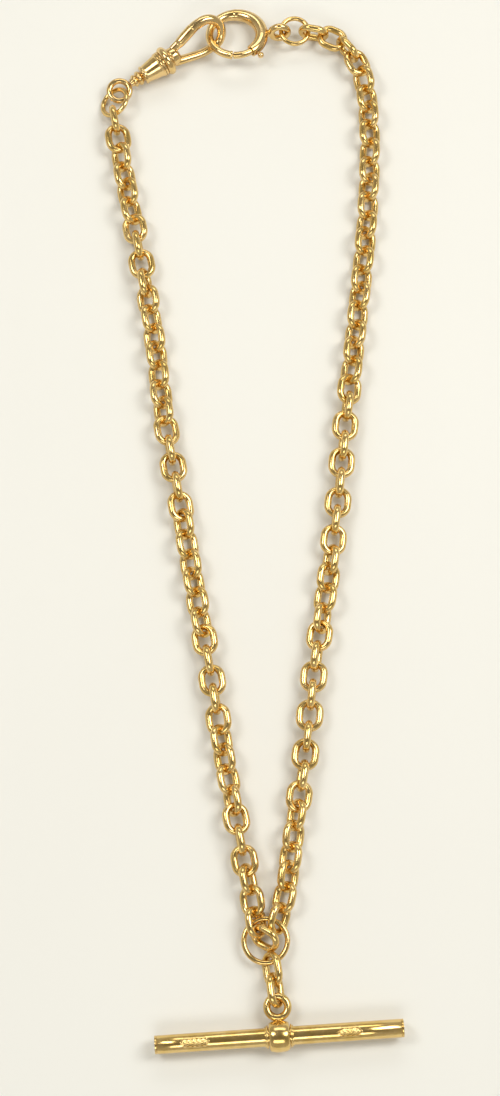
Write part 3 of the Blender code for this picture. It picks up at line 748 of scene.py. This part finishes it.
def studio():
    world = bpy.data.worlds.new("studio")
    world.use_nodes = True
    tree = world.node_tree
    sky = tree.nodes["Background"]
    way = node(tree, "ShaderNodeTexCoord").outputs["Generated"]
    split = node(tree, "ShaderNodeSeparateXYZ")
    tree.links.new(way, split.inputs["Vector"])
    lift = spread(tree, split.outputs["Z"], 0.0, 1.0, 0.35, 0.95)
    shade = mixed(tree, lift, WORLD_SIDE, WORLD_TOP)
    tree.links.new(shade, sky.inputs["Color"])
    sky.inputs["Strength"].default_value = WORLD_POWER
    bpy.context.scene.world = world
    for light in LIGHTS:
        soft_light(*light)
    bpy.context.scene.view_settings.view_transform = "Standard"


def floor():
    made = bmesh.new()
    bmesh.ops.create_grid(made, x_segments=8, y_segments=8, size=1.5)
    mesh = bpy.data.meshes.new("floor")
    made.to_mesh(mesh)
    made.free()
    material = bpy.data.materials.new("pale_card")
    material.use_nodes = True
    tree = material.node_tree
    shader = tree.nodes["Principled BSDF"]
    coords = node(tree, "ShaderNodeTexCoord").outputs["Object"]
    tone = spread(tree, noise(tree, coords, 9.0, 2.0), 0.0, 1.0)
    tree.links.new(mixed(tree, tone, FLOOR_LIGHT, FLOOR_DIM), shader.inputs["Base Color"])
    shader.inputs["Roughness"].default_value = 0.75
    shader.inputs["Specular IOR Level"].default_value = 0.2
    mesh.materials.append(material)
    obj = bpy.data.objects.new("floor", mesh)
    obj.location = (0.0, 0.0, -FLOOR_DROP)
    bpy.context.scene.collection.objects.link(obj)


# ---------------------------------------------------------------- chain, rings and the drop

def chain_length(side, layout):
    (_, frames), sizes = layout
    start = 0
    for number, size in enumerate(sizes, 1):
        made = bmesh.new()
        for i, matrix in enumerate(frames[start:start + size]):
            local_mm = Matrix.Scale(1 / MM, 4) @ matrix @ Matrix.Scale(MM, 4)
            oval_into(made, local_mm, LINK_LENGTH, LINK_WIDTH, math.radians(90 + 13 * (i % 3)))
        new_piece(f"{side}_links_{number:02d}", Matrix.Identity(4), made, LINK_GOLD,
                  f"{side}_run_{number:02d}", f"{side}_chain_run_{number:02d}")
        start += size


def single_link(name, matrix, length, width, body, slot):
    made = bmesh.new()
    oval_into(made, Matrix.Identity(4), length, width, math.radians(90))
    new_piece(name, matrix, made, slot, body, body)


def centre_and_drop():
    new_piece("ring_centre", centre_ring_frame(),
              torus_of(CENTRE_RING_RADIUS, CENTRE_RING_WIRE * 0.98, seam=205.0), RING_GOLD,
              "centre_ring", "centre_ring")
    single_link("link_spare", spare_link_frame(), LINK_LENGTH, LINK_WIDTH, "spare_link", LINK_GOLD)
    for number, (matrix, _) in enumerate(drop_frames(), 1):
        single_link(f"link_drop_{number}", matrix, DROP_LENGTH, DROP_WIDTH, f"drop_link_{number}",
                    LINK_GOLD)


def solder(name, matrix, spread_radius, height, slot, body):
    """The flared collar of solder at the foot of an eye, with its wide side down."""
    flare = [(0.0, height)]
    for i in range(13):
        t = i / 12
        flare.append((0.55 + (spread_radius - 0.55) * t ** 2.2, height - (height + 0.3) * t))
    flare.append((0.0, -0.35))
    obj = new_piece(name, matrix, turned_of(flare, steps=48), slot, None)
    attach(obj, body)


# ---------------------------------------------------------------- T-bar

def punch(around, along):
    """How far a punched mark sinks the bar's surface, without characters."""
    for middle, length in PUNCH_MARKS:
        run, half = abs(along - middle), length / 2
        if run > half:
            continue
        edge = PUNCH_HALF * min(1.0, (half - run) / PUNCH_POINT)
        inside = edge - abs(around)
        if inside <= PUNCH_RIM[0]:
            continue
        if inside < PUNCH_RIM[1]:
            return -PUNCH_RIM_HEIGHT
        turn = math.tau / PUNCH_BEADS
        lattice = math.cos((along - middle) * turn) * math.cos(around * turn)
        return PUNCH_DEPTH * (0.55 - 0.6 * lattice)
    return 0.0


def bar_tube(matrix):
    half = BAR_LENGTH / 2 - CAP_LIP - FIXED_GAP
    places = [-half, -half + BAR_EDGE]
    for middle, length in PUNCH_MARKS:
        steps = int(length / 0.05)
        places += [middle - length / 2 - 0.1 + (length + 0.2) * i / steps for i in range(steps + 1)]
    places += [half - BAR_EDGE, half]
    sides = 192
    facing = math.radians(93.0)  # the side that faces up
    made = bmesh.new()
    rings = []
    for place in places:
        ring = []
        for j in range(sides):
            angle = math.tau * j / sides
            away = (angle - facing + math.pi) % math.tau - math.pi
            radius = BAR_RADIUS - punch(away * BAR_RADIUS, place)
            if place in (-half, half):
                radius -= BAR_EDGE
            ring.append(made.verts.new((radius * math.cos(angle), radius * math.sin(angle), place)))
        rings.append(ring)
    for place in (half, -half):
        rings.append([made.verts.new((BAR_BORE * math.cos(math.tau * j / sides),
                                      BAR_BORE * math.sin(math.tau * j / sides), place))
                      for j in range(sides)])
    skin(made, rings, True)
    new_piece("bar_tube", matrix, made, BAR_GOLD, "bar", "t_bar_tube", sharp=50.0)


def t_bar():
    matrix = bar_frame()
    flipped = matrix @ Matrix.Rotation(math.pi, 4, "X")
    bar_tube(matrix)
    lip = BAR_LENGTH / 2
    plug = BAR_BORE - FIXED_GAP
    end = [(0.0, lip - 0.06), (0.5, lip - 0.04), (BAR_RADIUS - 0.3, lip)]
    end += rounded([(BAR_RADIUS - 0.3, lip), (BAR_RADIUS, lip), (BAR_RADIUS, lip - CAP_LIP),
                    (plug, lip - CAP_LIP)], 0.1)[1:]
    end += [(plug, lip - CAP_PLUG), (0.0, lip - CAP_PLUG)]
    new_piece("bar_cap_right", matrix, turned_of(end), BAR_GOLD, "bar", "t_bar_cap_right")
    new_piece("bar_cap_left", flipped, turned_of(end), BAR_GOLD, "bar", "t_bar_cap_left")

    inner = BULB_WIDTH / 2 + TURN_GAP
    bore = BAR_RADIUS + FIXED_GAP
    outer = inner + COLLAR_WIDTH
    neck = COLLAR_RADIUS - 0.22
    collar = rounded([(bore, inner), (COLLAR_RADIUS, inner), (COLLAR_RADIUS, outer - 0.32),
                      (neck, outer - 0.26), (neck, outer), (bore, outer)], 0.16, True)
    new_piece("bar_collar_right", matrix, turned_of(collar, True), BAR_GOLD, "bar",
              "t_bar_collar_right")
    new_piece("bar_collar_left", flipped, turned_of(collar, True), BAR_GOLD, "bar",
              "t_bar_collar_left")

    half = BULB_WIDTH / 2
    bore = BAR_RADIUS + TURN_GAP
    crown = BULB_RADIUS - bore - 0.25
    barrel = [(bore, half)]
    for i in range(41):
        angle = math.pi * i / 40
        barrel.append((bore + 0.25 + crown * math.sin(angle) ** 0.62, half * math.cos(angle)))
    barrel.append((bore, -half))
    new_piece("bar_bulb", matrix, turned_of(barrel, True), BAR_GOLD, "bulb", "t_bar_bulb")
    eye_out = BULB_RADIUS + FIXED_GAP + BAR_EYE_RADIUS + BAR_EYE_WIRE / 2
    eye = local(matrix, eye_out) @ Matrix.Rotation(math.pi / 2, 4, "X")
    new_piece("bar_eye", eye, torus_of(BAR_EYE_RADIUS + 0.1, BAR_EYE_WIRE + 0.25), BAR_GOLD, "bulb",
              "t_bar_eye")
    solder("bar_eye_solder", local(matrix, BULB_RADIUS) @ Matrix.Rotation(math.pi / 2, 4, "Y"),
           1.15, 0.55, BAR_GOLD, "bulb")


# ---------------------------------------------------------------- bolt ring

def ridged_radius(angle):
    """The tube's radius with its fine raised joint lines."""
    radius = tube_radius(angle)
    for place, rise in ((88.0, 0.05), (MOUTH_FROM + 360.0 - 3.0, 0.07)):
        away = math.radians(angle - place) * BOLT_RING_RADIUS
        radius += rise * math.exp(-(away / 0.16) ** 2)
    return radius


def bolt_ring():
    matrix = bolt_ring_frame()
    far_end = MOUTH_FROM + 360.0
    count = 240
    angles = [MOUTH_TO + (far_end - MOUTH_TO) * i / (count - 1) for i in range(count)]
    tube = new_piece("clasp_tube", matrix,
                     sweep_of(arc_points(MOUTH_TO, far_end, count),
                              [ridged_radius(a) for a in angles], sides=32),
                     CLASP_GOLD, "bolt_ring", "bolt_ring_tube")
    cut(tube, sweep_of(arc_points(MOUTH_TO - 8, CAVITY_END, 70), [CAVITY_RADIUS] * 70, sides=28),
        matrix)
    cut(tube, sweep_of(arc_points(SOCKET_END, MOUTH_FROM + 4, 8), [BOLT_RADIUS * 0.62] * 8,
                       sides=20), matrix)
    cut(tube, sweep_of(arc_points(KNOB_ANGLE - 5, KNOB_ANGLE + BOLT_TRAVEL + 6, 40, SLOT_RADIUS),
                       [SLOT_WIDTH / 2] * 40, sides=20), matrix)

    bolt_arc = arc_points(BOLT_TIP, BOLT_TIP + 4.5, 4) + arc_points(BOLT_TIP + 5.5, BOLT_TAIL, 60)
    radii = [BOLT_RADIUS * 0.45] * 4 + [BOLT_RADIUS * 0.99] * 60
    new_piece("clasp_bolt", matrix, sweep_of(bolt_arc, radii), CLASP_GOLD, "bolt", "bolt_ring_bolt")

    turn = matrix @ Matrix.Rotation(math.radians(KNOB_ANGLE), 4, "Z")
    foot = BOLT_RING_RADIUS + BOLT_RADIUS + FIXED_GAP
    knob_frame = local(turn, foot) @ Matrix.Rotation(math.pi / 2, 4, "Y")
    ball, stalk, length = 0.62, 0.3, 1.3
    reach = math.pi - math.asin(stalk / ball)
    knob = [(ball * math.sin(reach * i / 24), length + ball * math.cos(reach * i / 24))
            for i in range(25)] + [(stalk, 0.0), (0.0, 0.0)]
    new_piece("clasp_knob", knob_frame, turned_of(knob, steps=48), CLASP_GOLD, "bolt",
              "bolt_ring_knob")

    coil_radius, coil_wire, per_turn = 0.55, 0.11, 36
    start, end = BOLT_TAIL + 3.0, CAVITY_END - 4.0
    count = SPRING_TURNS * per_turn + 1
    points = []
    for i in range(count):
        angle = math.radians(start + (end - start) * i / (count - 1))
        wind = math.tau * i / per_turn
        out = BOLT_RING_RADIUS + coil_radius * math.cos(wind)
        points.append((out * math.cos(angle), out * math.sin(angle), coil_radius * math.sin(wind)))
    new_piece("clasp_spring", matrix, sweep_of(points, [coil_wire] * count, sides=10),
              SPRING_STEEL, "bolt_ring", "bolt_ring_spring")
    eye_x = BOLT_RING_RADIUS + TUBE_THICK + FIXED_GAP + BOLT_EYE_RADIUS + BOLT_EYE_WIRE / 2
    eye = local(matrix, eye_x) @ Matrix.Rotation(math.pi / 2, 4, "X")
    new_piece("clasp_eye", eye, torus_of(BOLT_EYE_RADIUS, BOLT_EYE_WIRE + 0.16), CLASP_GOLD,
              "bolt_ring", "bolt_ring_eye")
    foot = local(matrix, BOLT_RING_RADIUS + TUBE_THICK) @ Matrix.Rotation(math.pi / 2, 4, "Y")
    solder("clasp_eye_solder", foot, 1.05, 0.5, CLASP_GOLD, "bolt_ring")

    tilt = UP.rotation_difference(RIGHT_JUMP_NORMAL).to_matrix().to_4x4()
    new_piece("ring_right_jump", Matrix.Translation(at(RIGHT_JUMP_AT)) @ tilt,
              torus_of(JUMP_RADIUS, JUMP_WIRE * 0.98, seam=250.0), RING_GOLD, "right_jump_ring",
              "right_jump_ring")


# ---------------------------------------------------------------- dog clip

def dog_clip():
    matrix = clip_frame()
    spindle = across_to_up(matrix)
    barrel = rounded([
        (2.5, -1.05), (2.5, -1.5), (2.28, -1.62), (1.78, -4.45), (1.72, -4.6), (1.85, -4.78),
        (1.85, -5.12), (1.65, -5.3), (0.95, -5.3), (0.95, -4.5), (1.6, -4.2), (1.6, -1.05),
    ], 0.14, True)
    new_piece("clip_sleeve", spindle, turned_of(barrel, True), CLASP_GOLD, "clip", "clip_barrel")

    collar = [(0.0, 1.2), (2.15, 1.2), (2.2, 1.12)]
    collar += [(2.2 + 0.75 * math.sin(math.pi * i / 24), 0.3 + 0.8 * math.cos(math.pi * i / 24))
               for i in range(25)]
    collar += rounded([(2.2, -0.52), (2.52, -0.56), (2.52, -1.0), (0.0, -1.0)], 0.12)
    new_piece("clip_collars", spindle, turned_of(collar), CLASP_GOLD, "clip", "clip_collar")

    edge = SWIVEL_EYE_X + SWIVEL_EYE_RADIUS + SWIVEL_EYE_WIRE / 2 + FIXED_GAP
    post = [(0.0, -1.6), (1.35, -1.6), (1.35, -2.3), (0.8, -2.5), (0.8, -5.45), (1.1, -5.5)]
    for base, middle, half, rise in ((0.95, -6.1, 0.5, 0.5), (0.9, -7.1, 0.4, 0.35)):
        post += [(base + rise * math.sin(math.pi * i / 16),
                  middle + half * math.cos(math.pi * i / 16)) for i in range(17)]
    post += [(0.7, edge), (0.0, edge)]
    new_piece("clip_post", spindle, turned_of(post, steps=64), CLASP_GOLD, "swivel",
              "clip_swivel_post")
    eye = local(matrix, SWIVEL_EYE_X) @ Matrix.Rotation(SWIVEL_EYE_ROLL, 4, "X")
    new_piece("clip_eye", eye, torus_of(SWIVEL_EYE_RADIUS, SWIVEL_EYE_WIRE), CLASP_GOLD, "swivel",
              "clip_swivel_eye")
    clip_hook(matrix, spindle)
    clip_lever(matrix)
    new_piece("ring_left_jump", left_jump_frame(),
              torus_of(LEFT_JUMP_RADIUS, JUMP_WIRE * 0.98, seam=160.0), RING_GOLD,
              "left_jump_ring", "left_jump_ring")


def clip_hook(matrix, spindle):
    points, radii = hook_line()
    # The lower arm is a flat band that turns round at the bend.
    radii = ARM_THICKNESS + radii[len(ARM_THICKNESS):]
    breadths = ARM_BREADTH + [1.0] * (len(points) - len(ARM_BREADTH))
    line, thick = resampled(points, radii, 120)
    broad = resampled(points, breadths, 120)[1]
    hook = new_piece("clip_loop", matrix, sweep_of(line, thick, 32, 0.25, broad), CLASP_GOLD,
                     "clip", "clip_hook")
    root = rounded([(0.0, 3.2), (1.2, 3.2), (1.75, 2.7), (1.9, 1.25), (0.0, 1.25)], 0.3)
    cut(hook, turned_of(root, steps=64), spindle, "UNION")
    cut(hook, box_of((2.4, 3.0, 1.4)), local(matrix, 3.3, 1.5))
    pivot = local(matrix, LEVER_PIVOT.x, LEVER_PIVOT.y)
    hole = [(0.0, 3.0), (0.34, 3.0), (0.34, -3.0), (0.0, -3.0)]
    cut(hook, turned_of(hole, steps=32), pivot)


def clip_lever(matrix):
    line = [(2.45, 1.3, 0.0), (3.75, 1.55, 0.0), (4.5, 1.74, 0.0), (6.0, 2.22, 0.0),
            (7.75, 2.74, 0.0)]
    radii = [0.8, 0.9, 1.0, 1.06, 1.06]
    breadths = [0.78, 0.72, 1.0, 1.0, 1.0]
    points, thick = resampled(line, radii, 60)
    broad = resampled(line, breadths, 60)[1]
    lever = new_piece("clip_gate", matrix, sweep_of(points, thick, 32, 0.2, broad), CLASP_GOLD,
                      "lever", "clip_lever")
    pivot = local(matrix, LEVER_PIVOT.x, LEVER_PIVOT.y)
    hole = [(0.0, 2.0), (0.27, 2.0), (0.27, -2.0), (0.0, -2.0)]
    cut(lever, turned_of(hole, steps=32), pivot)
    pin = rounded([(0.0, 1.6), (0.2, 1.6), (0.2, -1.6), (0.0, -1.6)], 0.06)
    new_piece("clip_rivet", pivot, turned_of(pin, steps=32), CLASP_GOLD, "clip", "clip_lever_pin")
    leaf = [(3.2, 0.3, 0.0), (2.5, 0.22, 0.0), (2.28, 0.3, 0.0), (2.4, 0.38, 0.0)]
    new_piece("clip_leaf", matrix, sweep_of(*resampled(leaf, [0.08] * 4, 24), sides=12),
              SPRING_STEEL, "clip", "clip_lever_spring")


# ---------------------------------------------------------------- assembly

FINISHES = {
    LINK_GOLD: polished("link_polish", (0.84, 0.6, 0.25), (0.73, 0.5, 0.16), 0.19),
    RING_GOLD: polished("ring_polish", (0.84, 0.6, 0.25), (0.75, 0.52, 0.18), 0.16),
    BAR_GOLD: polished("bar_polish", (0.83, 0.6, 0.25), (0.73, 0.5, 0.16), 0.19, BAR_HEADING, 0.03),
    CLASP_GOLD: polished("clasp_polish", (0.85, 0.62, 0.29), (0.75, 0.52, 0.2), 0.16,
                         CLIP_HEADING),
    SPRING_STEEL: polished("steel_polish", (0.58, 0.57, 0.55), (0.42, 0.41, 0.4), 0.3, 0.0, 0.05,
                           (0.8, 0.8, 0.8)),
}


def main():
    camera()
    studio()
    floor()
    chain_length("left", left_layout())
    chain_length("right", right_layout())
    centre_and_drop()
    t_bar()
    bolt_ring()
    dog_clip()


main()
